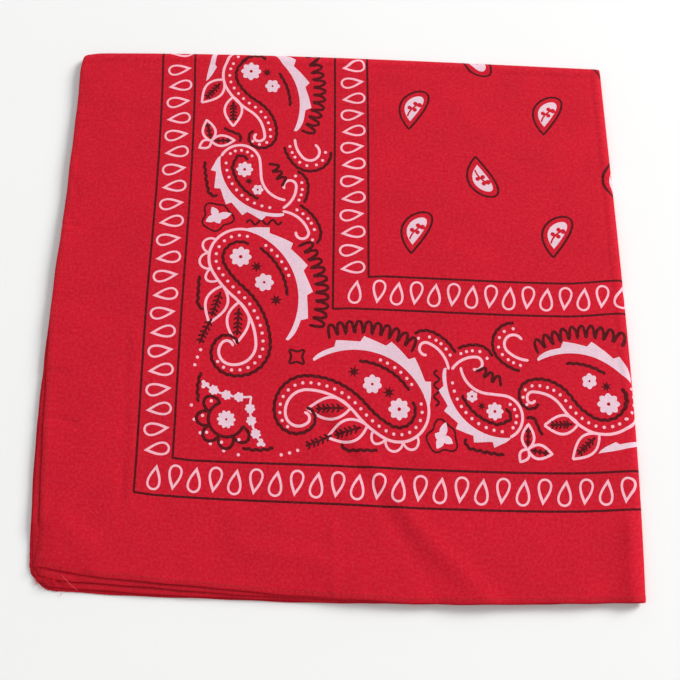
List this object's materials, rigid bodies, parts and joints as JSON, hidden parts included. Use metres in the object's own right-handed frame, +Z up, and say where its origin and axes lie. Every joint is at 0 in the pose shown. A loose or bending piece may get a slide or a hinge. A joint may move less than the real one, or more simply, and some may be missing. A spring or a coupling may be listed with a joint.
{
  "type": "folded paisley bandana",
  "caption": "Square cotton bandana with a traditional paisley print, folded twice into quarters and lying flat.",
  "frame": {"origin": "under the middle of the folded bandana's box, on the surface it lies on", "axes": "+Z up out of the printed face, +Y towards the far fold, +X towards the right fold; the hemmed edges are at -X and -Y"},
  "size_m": [0.282, 0.2846, 0.0044],
  "materials": {
    "printed_cotton": "matt plain weave, white and black print",
    "plain_cotton": "matt plain weave",
    "hem_cotton": "matt plain weave, one row of stitches"
  },
  "bodies": {
    "root": {"face_quarter": "printed_cotton", "face_hem_left": "hem_cotton", "face_hem_bottom": "hem_cotton", "hidden_layers": "plain_cotton", "under_quarter": "printed_cotton", "under_hem_left": "hem_cotton", "under_hem_bottom": "hem_cotton"}
  },
  "joints": []
}
